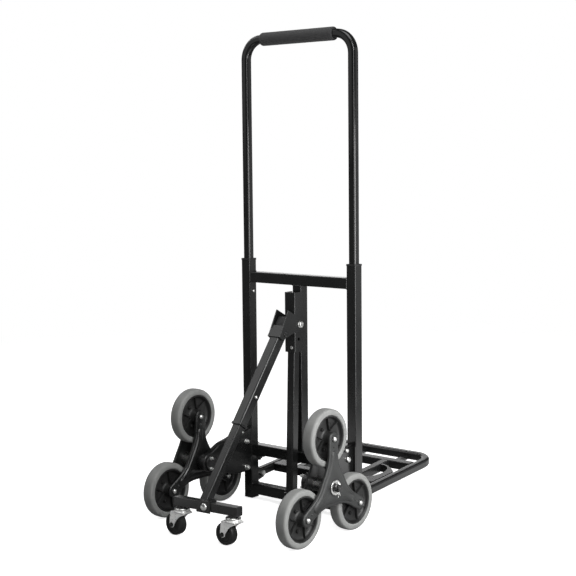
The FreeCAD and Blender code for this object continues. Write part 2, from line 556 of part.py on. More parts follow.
def build_toe():
    h = TOE_TUBE / 2
    u = bent_u(TOE_TUBE, TOE_WALL, TOE_X, TOE_FRONT + TOE_TAIL, TOE_BEND)
    u.translate(V(0, -TOE_TAIL, 0))
    u = u.cut(rod(HINGE_R + RUN, (-200, 0, 0), (200, 0, 0)))
    save("toe_frame", tilt(u))
    inside = TOE_X - h
    bars = [tube(TOE_TUBE, TOE_WALL, (-inside, v, 0), (inside, v, 0)) for v in (TOE_REAR_BAR, TOE_MID_BAR)]
    for s in (-1, 1):
        bars.append(tube(TOE_TUBE, TOE_WALL, (s * TOE_LONG_X, TOE_REAR_BAR + h, 0),
                         (s * TOE_LONG_X, TOE_MID_BAR - h, 0)))
    for x in TOE_RIB_X:
        bars.append(box(x - TOE_RIB_W / 2, x + TOE_RIB_W / 2, TOE_MID_BAR + h, TOE_FRONT - h, -h + 1, 1))
    save("toe_bars", [tilt(b) for b in bars])

    x_in = TOE_LONG_X + h
    v0 = TOE_REAR_BAR + h
    curve = [(x_in, 166), (104, 164), (115, 157), (124, 147), (129.5, 134), (132, 120), (131, 105),
             (126, 90), (117, 78), (109, v0)]
    front = [(inside, v0), (inside, 134), (146, 139), (139, 146), (128, 155), (112, 166), (x_in, 175)]
    pts = [V(x, v, 0) for x, v in front + curve]
    face = Part.Face(Part.makePolygon(pts + pts[:1]))
    shell = face.extrude(V(0, 0, 19))
    shell.translate(V(0, 0, -9.5))
    hollow = face.makeOffset2D(-2.0).extrude(V(0, 0, 17))
    hollow.translate(V(0, 0, -9.5))
    save("toe_gussets", [tilt(g) for g in mirrored(shell.cut(hollow))])

    screws = []
    for x in TOE_RIB_X:
        screw = rod(3.5, (x, TOE_FRONT, h + 0.05), (x, TOE_FRONT, h + 2.4))
        screws.append(screw.makeFillet(1.5, [e for e in screw.Edges if e.Closed and e.CenterOfMass.z > h + 2]))
    save("toe_screws", [tilt(s) for s in screws])


def build_toe_mounts():
    """Hinge brackets in front of the posts, their bolts, and the stops under the middle crossbar."""
    c = (TOE_Y, TOE_Z)
    t = 2.5
    x0, x1 = TOE_X - TOE_TUBE / 2 - 0.5, TOE_X + TOE_TUBE / 2 + 0.5
    lug = [(FACE, TOE_Z + 16), (FACE, TOE_Z - 16), (TOE_Y, TOE_Z - 12)] + [
        (TOE_Y + 12 * math.cos(math.radians(a)), TOE_Z + 12 * math.sin(math.radians(a)))
        for a in range(-75, 91, 15)]
    lugs = [slab(lug, x0 - t, x0), slab(lug, x1, x1 + t)]
    base = box(x0 - t, x1 + t, FACE, FACE + 1.5, TOE_Z - 20, TOE_Z + 20)
    bracket = fuse(lugs + [base])
    bracket = bracket.cut(rod(HINGE_R + RUN, (x0 - 9, *c), (x1 + 9, *c)))
    save("toe_hinge_brackets", mirrored(bracket))
    bolt = fuse([rod(HINGE_R, (x0 - t - 7, *c), (x1 + t + 1, *c)),
                 rod(7.5, (x1 + t + 0.2, *c), (x1 + t + 3.6, *c)),
                 hexagon(12, (x0 - t - 6, *c), (x0 - t - 0.2, *c))])
    save("toe_hinge_bolts", mirrored(bolt))
    z = BAR_Z[1] - FACE
    plate = box(108, 144, -FACE, FACE, z - 2.5, z)
    nub = [hexagon(13, (128, -4, z - 9), (128, -4, z - 2.6)), rod(3.9, (128, -4, z - 13), (128, -4, z - 2.6))]
    save("crossbar_pads", [m for s in (plate, fuse(nub)) for m in mirrored(s)])


build_frame()
build_arms()
build_handle()
build_buttons()
build_strut()
build_strut_inner()
build_casters()
build_stars()
build_toe()
build_toe_mounts()

os.makedirs("parts", exist_ok=True)
for node, shape in PARTS:
    shape.exportStep("parts/" + node + ".step")
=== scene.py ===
# Visual model of a stair climbing trolley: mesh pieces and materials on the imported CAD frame, then a studio.
import json
import math

import bmesh
import bpy
from mathutils import Matrix, Vector, noise


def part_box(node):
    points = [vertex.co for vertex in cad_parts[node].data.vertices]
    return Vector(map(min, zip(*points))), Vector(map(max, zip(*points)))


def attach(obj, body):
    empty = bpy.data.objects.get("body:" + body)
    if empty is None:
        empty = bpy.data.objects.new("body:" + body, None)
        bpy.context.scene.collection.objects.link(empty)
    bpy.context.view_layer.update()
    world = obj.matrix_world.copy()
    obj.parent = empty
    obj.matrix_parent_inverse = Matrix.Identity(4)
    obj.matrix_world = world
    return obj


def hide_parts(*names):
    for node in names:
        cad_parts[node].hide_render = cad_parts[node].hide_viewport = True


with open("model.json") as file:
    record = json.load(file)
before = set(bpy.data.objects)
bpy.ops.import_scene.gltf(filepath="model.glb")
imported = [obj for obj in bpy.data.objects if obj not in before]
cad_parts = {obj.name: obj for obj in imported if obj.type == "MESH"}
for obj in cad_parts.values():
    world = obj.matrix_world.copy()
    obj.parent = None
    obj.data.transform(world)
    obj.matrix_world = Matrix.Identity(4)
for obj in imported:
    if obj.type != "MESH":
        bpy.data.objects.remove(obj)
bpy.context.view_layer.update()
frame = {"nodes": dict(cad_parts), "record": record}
nodes = frame["nodes"]
MM = 0.001                              # the mesh code below works in millimetres
SIDES = (("left", -1), ("right", 1))    # name, sign of X; pieces are made for +X and mirrored

# ------------------------------------------------------------ node materials


class Mat:
    """A principled material whose colour, roughness and bump are made by nodes."""

    def __init__(self, name, **sockets):
        self.mat = bpy.data.materials.new(name)
        self.mat.use_nodes = True
        self.tree = self.mat.node_tree
        self.shader = self.tree.nodes["Principled BSDF"]
        for key, value in sockets.items():
            self.shader.inputs[key.replace("_", " ")].default_value = value
        self.where = self.node("ShaderNodeTexCoord").outputs["Object"]

    def node(self, kind, **props):
        n = self.tree.nodes.new(kind)
        for key, value in props.items():
            setattr(n, key, value)
        return n

    def link(self, a, b):
        self.tree.links.new(a, b)

    def noise(self, scale, detail=3.0, rough=0.5, stretch=None):
        n = self.node("ShaderNodeTexNoise")
        n.inputs["Scale"].default_value = scale
        n.inputs["Detail"].default_value = detail
        n.inputs["Roughness"].default_value = rough
        self.link(self.mapped(stretch), n.inputs["Vector"])
        return n.outputs["Fac"]

    def cells(self, scale):
        n = self.node("ShaderNodeTexVoronoi")
        n.inputs["Scale"].default_value = scale
        self.link(self.where, n.inputs["Vector"])
        return n.outputs["Distance"]

    def mapped(self, stretch):
        if stretch is None:
            return self.where
        m = self.node("ShaderNodeMapping")
        m.inputs["Scale"].default_value = stretch
        self.link(self.where, m.inputs["Vector"])
        return m.outputs["Vector"]

    def ramp(self, source, lo, hi, a, b):
        """Source between lo and hi mapped to values a to b."""
        n = self.node("ShaderNodeMapRange", interpolation_type="SMOOTHSTEP")
        for key, value in zip(("From Min", "From Max", "To Min", "To Max"), (lo, hi, a, b)):
            n.inputs[key].default_value = value
        self.link(source, n.inputs["Value"])
        return n.outputs["Result"]

    def blend(self, factor, a, b):
        """Colour a to colour b by factor; either may be a socket."""
        n = self.node("ShaderNodeMix", data_type="RGBA")
        self.link(factor, n.inputs[0])
        for value, socket in ((a, n.inputs[6]), (b, n.inputs[7])):
            if isinstance(value, tuple):
                socket.default_value = (*value, 1)
            else:
                self.link(value, socket)
        return n.outputs[2]

    def add(self, a, b, op="ADD"):
        n = self.node("ShaderNodeMath", operation=op)
        for value, socket in ((a, n.inputs[0]), (b, n.inputs[1])):
            if isinstance(value, (int, float)):
                socket.default_value = value
            else:
                self.link(value, socket)
        return n.outputs[0]

    def bump(self, height, depth):
        n = self.node("ShaderNodeBump")
        n.inputs["Distance"].default_value = depth
        self.link(height, n.inputs["Height"])
        self.link(n.outputs["Normal"], self.shader.inputs["Normal"])

    def set(self, socket, value):
        self.link(value, self.shader.inputs[socket])

    def edges(self, radius, gain):
        """About 1 on convex and concave edges narrower than radius, 0 on flat faces."""
        soft = self.node("ShaderNodeBevel", samples=4)
        soft.inputs["Radius"].default_value = radius
        hard = self.node("ShaderNodeNewGeometry")
        dot = self.node("ShaderNodeVectorMath", operation="DOT_PRODUCT")
        self.link(soft.outputs["Normal"], dot.inputs[0])
        self.link(hard.outputs["Normal"], dot.inputs[1])
        return self.ramp(dot.outputs["Value"], 1.0 - gain, 0.995, 1.0, 0.0)


def coat(name, dark, light, rough, grain, depth, edge_highlight_and_wear_tone):
    """Powder coat: orange peel, cloudy gloss, paler edges that are partly rubbed wear and partly painted
    highlight.
    """
    m = Mat(name, IOR=1.5)
    cloud = m.noise(9.0, 4.0, 0.6)
    peel = m.noise(grain, 2.0, 0.5)
    base = m.blend(m.ramp(cloud, 0.35, 0.7, 0.0, 1.0), dark, light)
    # edge mask times patchy noise paints the edges paler: partly rubbed wear, partly painted highlight along
    # the rounded edges
    highlight_and_wear_mask = m.add(m.edges(0.0012, 0.25), m.ramp(m.noise(60.0, 3.0), 0.42, 0.62, 0.15, 1.0), "MULTIPLY")
    gloss = m.add(cloud, m.add(peel, 0.35, "MULTIPLY"))
    m.set("Base Color", m.blend(highlight_and_wear_mask, base, edge_highlight_and_wear_tone))
    m.set("Roughness", m.ramp(gloss, 0.4, 0.95, rough - 0.05, rough + 0.07))
    m.bump(m.add(peel, m.add(m.noise(grain * 3, 1.0), 0.3, "MULTIPLY")), depth)
    return m.mat


def metal(name, dark, light, rough, streak, depth, metallic=1.0):
    """Plated or polished steel with fine streaks and cloudy passivation."""
    m = Mat(name, Metallic=metallic)
    cloud = m.noise(140.0, 4.0, 0.65)
    lines = m.noise(320.0, 2.0, 0.5, stretch=streak)
    m.set("Base Color", m.blend(m.ramp(cloud, 0.32, 0.68, 0.0, 1.0), dark, light))
    m.set("Roughness", m.ramp(m.add(cloud, lines), 0.7, 1.3, rough - 0.05, rough + 0.1))
    m.bump(lines, depth)
    return m.mat


def moulded(name, dark, light, rough, grain, depth):
    """Moulded plastic or rubber: fine spark-eroded grain, slightly uneven gloss."""
    m = Mat(name, IOR=1.46)
    cloud = m.noise(22.0, 4.0, 0.55)
    speck = m.cells(grain)
    gloss = m.add(cloud, m.add(speck, 0.5, "MULTIPLY"))
    m.set("Base Color", m.blend(m.ramp(cloud, 0.3, 0.7, 0.0, 1.0), dark, light))
    m.set("Roughness", m.ramp(gloss, 0.35, 1.0, rough - 0.05, rough + 0.08))
    m.bump(m.add(speck, m.noise(grain * 0.7, 2.0)), depth)
    return m.mat


def tyre_rubber(name):
    """Grey thermoplastic rubber: soft mottling, scuffed tread, very fine grain."""
    m = Mat(name, IOR=1.45)
    cloud = m.noise(35.0, 5.0, 0.6)
    fine = m.noise(900.0, 2.0)
    base = m.blend(m.ramp(cloud, 0.3, 0.7, 0.0, 1.0), (0.175, 0.178, 0.174), (0.215, 0.218, 0.212))
    scuff = m.ramp(m.noise(70.0, 6.0, 0.7, stretch=(0.35, 1.0, 1.0)), 0.55, 0.72, 0.0, 0.35)
    m.set("Base Color", m.blend(scuff, base, (0.135, 0.135, 0.131)))
    m.set("Roughness", m.ramp(m.add(cloud, fine), 0.7, 1.3, 0.5, 0.66))
    m.bump(fine, 0.00005)
    return m.mat


def foam(name):
    """Closed-cell foam sleeve: small pores darkened by painted shade, and a dull skin."""
    m = Mat(name, IOR=1.4, Sheen_Weight=0.12, Sheen_Roughness=0.6)
    pores = m.cells(1100.0)
    cloud = m.noise(45.0, 4.0, 0.6)
    # darker colour at the pore centres, the pits the bump sinks, is painted shade; the cloud term adds random
    # mottling
    depth = m.ramp(m.add(pores, m.add(cloud, 0.6, "MULTIPLY")), 0.4, 1.0, 0.0, 1.0)
    m.set("Base Color", m.blend(depth, (0.011, 0.011, 0.0115), (0.03, 0.03, 0.031)))
    m.set("Roughness", m.ramp(cloud, 0.3, 0.7, 0.72, 0.86))
    m.bump(m.add(pores, m.noise(260.0, 3.0)), 0.00025)
    return m.mat


MATERIALS = {
    "black_coat": coat("black_coat", dark=(0.0075, 0.0078, 0.0078), light=(0.0115, 0.0118, 0.0118),
                       rough=0.23, grain=520.0, depth=0.00002, edge_highlight_and_wear_tone=(0.032, 0.033, 0.032)),
    # darker, glossier copy of black_coat for the handle bow: the gloss is its own, the darker base is painted
    # shade
    "gloss_coat": coat("gloss_coat", dark=(0.005, 0.0052, 0.0052), light=(0.008, 0.0082, 0.0082),
                       rough=0.17, grain=520.0, depth=0.00001, edge_highlight_and_wear_tone=(0.02, 0.0205, 0.02)),
    "star_coat": coat("star_coat", dark=(0.013, 0.014, 0.0135), light=(0.019, 0.02, 0.0195),
                      rough=0.44, grain=640.0, depth=0.00007, edge_highlight_and_wear_tone=(0.11, 0.112, 0.11)),
    "zinc": metal("zinc", dark=(0.62, 0.63, 0.62), light=(0.86, 0.86, 0.84),
                  rough=0.27, streak=(1.0, 1.0, 3.0), depth=0.00003),
    # metallic held at 0.4 so the near-white base adds diffuse brightness: a painted reflection of a white
    # surround on the polished steel
    "polished_yoke": metal("polished_yoke", dark=(0.88, 0.88, 0.87), light=(0.96, 0.96, 0.95),
                           rough=0.3, streak=(1.0, 1.0, 0.15), depth=0.00003, metallic=0.4),
    "steel_button": metal("steel_button", dark=(0.78, 0.78, 0.77), light=(0.92, 0.92, 0.9),
                          rough=0.22, streak=(1.0, 1.0, 1.0), depth=0.00002),
    "black_plastic": moulded("black_plastic", dark=(0.012, 0.012, 0.0125), light=(0.02, 0.02, 0.0205),
                             rough=0.44, grain=1300.0, depth=0.00004),
    "caster_black": moulded("caster_black", dark=(0.011, 0.011, 0.011), light=(0.019, 0.019, 0.019),
                            rough=0.4, grain=1500.0, depth=0.00003),
    "wheel_core": moulded("wheel_core", dark=(0.0065, 0.0067, 0.0065), light=(0.011, 0.0112, 0.011),
                          rough=0.42, grain=1200.0, depth=0.00004),
    "grey_tyre": tyre_rubber("grey_tyre"),
    "grip_foam": foam("grip_foam"),
}

# ------------------------------------------------------------ mesh building, in millimetres


class Build:
    """Collects the faces of one piece."""

    def __init__(self):
        self.v, self.f = [], []

    def add(self, verts, faces, m=None):
        n = len(self.v)
        self.v += [m @ Vector(p) if m else Vector(p) for p in verts]
        self.f += [[i + n for i in face] for face in faces]
        return self

    def loops(self, rings, caps=(True, True), m=None):
        """Quads between rings of points; the end rings are filled when caps say so."""
        k = len(rings[0])
        verts = [p for ring in rings for p in ring]
        faces = []
        for r in range(len(rings) - 1):
            for i in range(k):
                j = (i + 1) % k
                faces.append((r * k + i, r * k + j, (r + 1) * k + j, (r + 1) * k + i))
        if caps[0]:
            faces.append(tuple(reversed(range(k))))
        if caps[1]:
            faces.append(tuple(range((len(rings) - 1) * k, len(rings) * k)))
        return self.add(verts, faces, m)

    def lathe(self, profile, steps=72, m=None, around=False):
        """(x, radius) profile turned about X: a ring if it goes around, else its ends are capped."""
        ang = [2 * math.pi * i / steps for i in range(steps)]
        rings = [[(x, r * math.cos(a), r * math.sin(a)) for a in ang] for x, r in profile]
        if around:
            return self.loops(rings + rings[:1], caps=(False, False), m=m)
        return self.loops(rings, m=m)

    def hexhead(self, flats, height, m, dome=0.0):
        """Chamfered hexagon head growing along +X from x = 0, with an optional dome on top."""
        inner = flats / 2 * 0.94
        ang = [math.radians(10 * i) for i in range(36)]
        reach = [flats / 2 / math.cos((a + math.pi / 6) % (math.pi / 3) - math.pi / 6) for a in ang]
        hexagon = [(r * math.cos(a), r * math.sin(a)) for a, r in zip(ang, reach)]

        def ring(x, r):
            return [(x, r * math.cos(a), r * math.sin(a)) for a in ang]
        rings = [[(0, 0.96 * y, 0.96 * z) for y, z in hexagon],
                 [(0.3, y, z) for y, z in hexagon],
                 [(height - (r - inner) * 0.58, y, z) for r, (y, z) in zip(reach, hexagon)],
                 ring(height, inner)]
        if dome:
            for k in range(7):
                t = k / 6 * math.pi / 2 * 0.98
                rings.append(ring(height + dome * math.sin(t), inner * 0.92 * math.cos(t)))
        else:
            rings.append(ring(height, inner * 0.8))
        return self.loops(rings, m=m)

    def washer(self, r_out, r_in, thick, m, segs=48):
        e = min(0.4, thick / 3)
        profile = [(0, r_in), (0, r_out - e), (e, r_out), (thick - e, r_out), (thick, r_out - e), (thick, r_in)]
        return self.lathe(profile, segs, m, around=True)

    def pipe(self, path, radius, segs, closed=False, wobble=0.0):
        """Round bar along a list of points."""
        pts = [Vector(p) for p in path]
        n = len(pts)
        rings, up = [], None
        for i, p in enumerate(pts):
            a = pts[(i - 1) % n] if closed or i else pts[0]
            b = pts[(i + 1) % n] if closed or i < n - 1 else pts[-1]
            d = (b - a).normalized()
            if up is None:
                up = d.orthogonal().normalized()
            up = (up - d * up.dot(d)).normalized()
            side = d.cross(up)
            r = radius * (1 + wobble * noise.noise(p * 0.6))
            rings.append([p + (up * math.cos(t) + side * math.sin(t)) * r
                          for t in (2 * math.pi * k / segs for k in range(segs))])
        if closed:
            return self.loops(rings + rings[:1], caps=(False, False))
        return self.loops(rings)


def along(axis, at=(0, 0, 0)):
    """Matrix that turns +X onto an axis and moves the origin to a point."""
    return Matrix.Translation(Vector(at)) @ Vector(axis).to_track_quat("X", "Z").to_matrix().to_4x4()


def moved(x, y=0.0, z=0.0):
    return Matrix.Translation(Vector((x, y, z)))


def upright(x, y):
    """Matrix that turns +X up, over a point of the floor."""
    return moved(x, y) @ Matrix.Rotation(-math.pi / 2, 4, "Y")


def piece(name, build, slot, body, stands_for=(), mirror=False, smooth=35.0, bevel=0.0, at=None,
          look=None, holes=()):
    """Turn a build into an object that rides on a body; look is its material, if not the slot's own."""
    sign = -1 if mirror else 1
    mesh = bpy.data.meshes.new(name)
    verts = [(p.x * sign * MM, p.y * MM, p.z * MM) for p in build.v]
    faces = [tuple(reversed(f)) for f in build.f] if mirror else build.f
    mesh.from_pydata(verts, [], faces)
    mesh.update()
    bm = bmesh.new()
    bm.from_mesh(mesh)
    bmesh.ops.remove_doubles(bm, verts=bm.verts, dist=0.01 * MM)
    bmesh.ops.recalc_face_normals(bm, faces=bm.faces)
    bm.to_mesh(mesh)
    bm.free()
    mesh.materials.append(MATERIALS[look or slot])
    mesh.polygons.foreach_set("use_smooth", [True] * len(mesh.polygons))
    mesh.set_sharp_from_angle(angle=math.radians(smooth))
    obj = bpy.data.objects.new(name, mesh)
    bpy.context.scene.collection.objects.link(obj)
    if at is not None:
        obj.location = Vector(at) * MM
    if holes:
        drill(obj, holes)
    if bevel:
        soften(obj, bevel)
    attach(obj, body)
    if stands_for:
        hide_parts(*stands_for)
    return obj


def drill(obj, holes):
    """Cut round holes, given as (start, axis, radius, depth), into a piece."""
    b = Build()
    for start, axis, radius, depth in holes:
        b.lathe([(0, 0.01), (0, radius), (depth, radius), (depth, 0.01)], 32, along(axis, start))
    tool = bpy.data.meshes.new("drill")
    tool.from_pydata([tuple(p * MM) for p in b.v], [], b.f)
    cutter = bpy.data.objects.new("drill", tool)
    bpy.context.scene.collection.objects.link(cutter)
    cut = obj.modifiers.new("holes", "BOOLEAN")
    cut.operation, cut.solver, cut.object = "DIFFERENCE", "EXACT", cutter
    whole = obj.data
    final = obj.evaluated_get(bpy.context.evaluated_depsgraph_get())
    obj.data = bpy.data.meshes.new_from_object(final)
    obj.data.name = obj.name
    obj.modifiers.clear()
    bpy.data.objects.remove(cutter)
    bpy.data.meshes.remove(tool)
    bpy.data.meshes.remove(whole)


def soften(obj, width):
    """Round the sharp edges by a width in millimetres."""
    b = obj.modifiers.new("edge", "BEVEL")
    b.width, b.segments, b.limit_method, b.angle_limit = width * MM, 2, "ANGLE", math.radians(32.0)
    b.use_clamp_overlap = True
    w = obj.modifiers.new("shade", "WEIGHTED_NORMAL")
    w.weight = 100


def box_mm(node):
    """A node's lowest and highest corners at rest, in millimetres."""
    return [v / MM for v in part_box(node)]


def centre(node):
    lo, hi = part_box(node)
    return (lo + hi) / 2 / MM


def smooth_line(points, per):
    """Catmull-Rom curve through points, with per steps between two of them."""
    pts = [Vector(p) for p in points]
    last = len(pts) - 1
    out = []
    for i in range(last):
        a, b, c, d = [pts[min(max(i + k, 0), last)] for k in (-1, 0, 1, 2)]
        for k in range(per):
            t = k / per
            out.append(0.5 * ((2 * b) + (c - a) * t + (2 * a - 5 * b + 4 * c - d) * t * t
                              + (3 * b - a - 3 * c + d) * t ** 3))
    out.append(pts[-1])
    return out


def square_ring(half, z, corner, n=4):
    """Rounded square of points at a height."""
    pts = []
    flat = half - corner
    for k, (sx, sy) in enumerate(((1, 1), (-1, 1), (-1, -1), (1, -1))):
        for i in range(n + 1):
            a = math.radians(90 * k + 90 * i / n)
            pts.append((sx * flat + corner * math.cos(a), sy * flat + corner * math.sin(a), z))
    return pts


BEND_STEPS = 15


def bent_tube(x, length, bend, half, corner, wall, m):
    """Hollow square tube bent to a U: legs at x and -x along +Y, cross run centred at y = length."""
    turn = [math.radians(90 * i / BEND_STEPS) for i in range(BEND_STEPS + 1)]
    line = [(x, 0.0, 0.0)]
    line += [(x - bend + bend * math.cos(t), length - bend + bend * math.sin(t), t) for t in turn]
    line += [(-px, py, math.pi - t) for px, py, t in reversed(line)]
    rings = []
    for stations, h, c in ((line, half, corner), (line[::-1], half - wall, corner - wall / 2)):
        section = square_ring(h, 0, c, 6)
        for px, py, t in stations:
            rings.append([(px + u * math.cos(t), py + u * math.sin(t), v) for u, v, _ in section])
    return Build().loops(rings + rings[:1], caps=(False, False), m=m)


# ------------------------------------------------------------ wheels


def tyre_build():
    half = smooth_line([(11.6, 49.4), (13.0, 50.2), (13.9, 51.8), (14.0, 55.0), (13.7, 58.2), (12.6, 60.9),
                        (10.6, 62.5), (8.0, 63.2), (4.0, 63.45)], 5)
    half = [(p.x, p.y) for p in half]
    bore = [(-11.0, 47.5), (11.0, 47.5)]
    ring = half + [(0, 63.5)] + [(-x, r) for x, r in reversed(half)] + bore
    return Build().lathe(ring, 120, around=True)


def rib(b, p, q, width, x0, x1, side):
    """Straight moulded rib between two points of the wheel web, with drafted walls and a rounded crest."""
    d = (q - p).normalized()
    n = Vector((1, 0, 0)).cross(d)
    rings = []
    for t, h in ((0.0, x1 * 0.9), (0.5, x1 * 0.86), (1.0, x1)):
        c = p.lerp(q, t)
        row = []
        for off, x in ((-1.0, x0), (-0.72, h - 0.9), (-0.4, h), (0.4, h), (0.72, h - 0.9), (1.0, x0)):
            v = c + n * (off * width / 2)
            row.append((side * x, v.y, v.z))
        rings.append(row)
    b.loops(rings)


RIB_PAIR_AT = 68    # degrees from +Y to the first pair of ribs
WEB_X = 3.0         # half the thickness of the wheel's web


def core_build():
    face = [(0, 49.4), (11.4, 49.4), (12.7, 49.1), (13.1, 48.3), (12.9, 46.8), (11.6, 45.6), (8.6, 44.6),
            (5.4, 43.2), (4.2, 41.0), (3.6, 36.0), (3.2, 20.0), (4.2, 16.4), (6.4, 14.6), (15.5, 13.2),
            (18.2, 12.7), (19.0, 11.8), (19.0, 6.6), (18.4, 6.1)]
    ring = face + [(-x, r) for x, r in reversed(face[1:])]
    b = Build().lathe(ring, 96, around=True)

    def on_web(degrees, radius, x=0):
        a = math.radians(degrees)
        return Vector((x, radius * math.cos(a), radius * math.sin(a)))

    for pair in (RIB_PAIR_AT, RIB_PAIR_AT + 120, RIB_PAIR_AT + 240):
        for side in (-1, 1):
            p, q = on_web(pair + side * 5, 17), on_web(pair + side * 24, 43.6)
            for face_side in (-1, 1):
                rib(b, p, q, 2.2, WEB_X, 10.6, face_side)
        for face_side in (-1, 1):
            out = (face_side, 0, 0)
            b.lathe([(0, 4.4), (4.6, 3.9), (5.4, 3.2), (5.4, 1.6), (2.0, 1.4)], 20,
                    along(out, on_web(pair + 60, 26, face_side * WEB_X)))
            b.lathe([(0, 6.2), (1.2, 5.6), (1.2, 3.8), (0.2, 3.2)], 20,
                    along(out, on_web(pair, 30, face_side * WEB_X)))
    return b


tyre_mesh, core_mesh = tyre_build(), core_build()
for side, sign in SIDES:
    for k in (1, 2, 3):
        which = "%s_%d" % (side, k)
        at = centre("tyre_" + which)
        piece("tyre_detail_" + which, tyre_mesh, "grey_tyre", "wheel_" + which, ["tyre_" + which],
              mirror=sign < 0, at=at, smooth=50)
        piece("core_detail_" + which, core_mesh, "wheel_core", "wheel_" + which, ["core_" + which],
              mirror=sign < 0, at=at, smooth=38)

# ------------------------------------------------------------ star plates

STAR_R = (centre("tyre_right_1") - centre("star_hub_right")).length
# end radius, root radius, flank distance and fillet radius of the plate and of the raised middle
PLATE = (14.6, 17.5, 41.0, 80.0)
RAISED = (9.6, 12.0, 34.5, 84.0)
RAISED_REACH = 70.0
STAR_STEPS = 8      # points round half an arm's end, and along half a fillet


def star_loop(x, reach, end_r, root_r, flank, fillet, inset=0.0):
    """Closed three-armed outline: round arm ends, tapering arms, fillets into a triangular middle."""
    lean = math.asin((root_r - end_r) / reach)
    a, b = (math.sin(lean), math.cos(lean)), (0.5, math.sqrt(0.75))
    p, q = root_r + fillet, flank + fillet
    det = a[0] * b[1] - a[1] * b[0]
    c = Vector(((p * b[1] - q * a[1]) / det, (q * a[0] - p * b[0]) / det))
    half = []
    for i in range(STAR_STEPS + 1):
        t = (math.pi / 2 - lean) * i / STAR_STEPS
        half.append(Vector((reach + (end_r - inset) * math.cos(t), (end_r - inset) * math.sin(t))))
    for i in range(STAR_STEPS + 1):
        t = math.pi / 2 - lean - (math.pi / 6 - lean) * i / STAR_STEPS
        half.append(c - Vector((math.cos(t), math.sin(t))) * (fillet + inset))
    arm = [Vector((p.x, -p.y)) for p in reversed(half[1:])] + half
    pts = []
    for k in range(3):
        turn = math.radians(90 + 120 * k)
        cos, sin = math.cos(turn), math.sin(turn)
        pts += [(x, p.x * cos - p.y * sin, p.x * sin + p.y * cos) for p in arm]
    return pts


def hub_loop(x, r):
    """The same number of points as a star loop, on a circle."""
    pts = []
    for p in star_loop(0, STAR_R, *PLATE):
        a = math.atan2(p[2], p[1])
        pts.append((x, r * math.cos(a), r * math.sin(a)))
    return pts


def star_plate_build(x, out):
    """Pressed plate whose outer face lies at x; out is the way the face looks along X."""
    rings = []
    for inset, drop in ((1.6, -6.6), (0.3, -6.4), (0.0, -5.4), (0.1, -2.6), (0.6, -1.2), (1.5, -0.35),
                        (2.6, 0.0)):
        rings.append(star_loop(x + out * drop, STAR_R, *PLATE, inset))
    for inset, rise in ((0.0, 0.0), (0.5, 0.4), (1.5, 1.8), (2.2, 2.2)):
        rings.append(star_loop(x + out * rise, RAISED_REACH, *RAISED, inset))
    for rise, r in ((2.2, 19.5), (1.9, 18.8), (1.9, 16.0), (-1.0, 15.6)):
        rings.append(hub_loop(x + out * rise, r))
    rings.append(star_loop(x - out * 3.0, RAISED_REACH, *RAISED, 2.0))
    rings.append(star_loop(x - out * 3.0, STAR_R, *PLATE, 3.4))
    return Build().loops(rings + rings[:1], caps=(False, False))


WHEEL_PIN = [(0, 5.4), (1.6, 5.4), (2.6, 5.0), (3.6, 3.9), (4.2, 2.2), (4.35, 0.01)]
RIVET = [(0, 2.9), (0.5, 2.8), (1.1, 2.2), (1.4, 1.2), (1.5, 0.2)]
RIVET_AT = 0.83     # of the way from the hub to a wheel pin

for side, sign in SIDES:
    hub = centre("star_hub_" + side)
    lo, hi = box_mm("star_plates_" + side)
    x_in, x_out = (lo.x, hi.x) if sign > 0 else (-hi.x, -lo.x)
    at = (0, hub.y, hub.z)
    body = "star_" + side
    piece("star_outer_" + side, star_plate_build(x_out, 1), "star_coat", body, ["star_plates_" + side],
          mirror=sign < 0, at=at, smooth=30)
    # painted shade: the inner plate takes the darker black_coat where the outer plate has star_coat, for an
    # inner face that sits in shadow
    piece("star_inner_" + side, star_plate_build(x_in, -1), "black_coat", body,
          mirror=sign < 0, at=at, smooth=30)

    b, rings, rivets = Build(), Build(), Build()
    for a in (math.radians(t) for t in (90, 210, 330)):
        c = Vector((0, STAR_R * math.cos(a), STAR_R * math.sin(a)))
        r = c * RIVET_AT
        for x, out in ((x_out, 1), (x_in, -1)):
            rings.washer(7.4, 4.5, 1.1, along((out, 0, 0), (x + out * 0.05, c.y, c.z)))
            b.lathe(WHEEL_PIN, 28, along((out, 0, 0), (x + out * 1.1, c.y, c.z)))
            rivets.lathe(RIVET, 24, along((out, 0, 0), (x - out * 0.05, r.y, r.z)))
        b.lathe([(x_in + 3.2, 6.0), (x_out - 3.2, 6.0)], 28, moved(0, c.y, c.z))
    piece("star_bolts_" + side, b, "zinc", body, ["star_fasteners_" + side], mirror=sign < 0, at=at)
    piece("star_washers_" + side, rings, "black_coat", body, mirror=sign < 0, at=at)
    piece("star_rivets_" + side, rivets, "star_coat", body, mirror=sign < 0, at=at)

# ------------------------------------------------------------ axle nuts, washers and cotter pins


def castle_nut(b, x):
    """Slotted nut whose inner face lies at x."""
    b.hexhead(17, 6, moved(x))
    half = math.radians(20)
    for k in range(6):
        mid = math.radians(60 * k + 30)
        rings = []
        for i in range(7):
            a = mid - half + 2 * half * i / 6
            c, s = math.cos(a), math.sin(a)
            rings.append([(x + h, r * c, r * s) for h, r in
                          ((5.8, 5.7), (5.8, 7.9), (9.3, 7.8), (9.8, 7.2), (9.8, 5.7))])
        b.loops(rings)


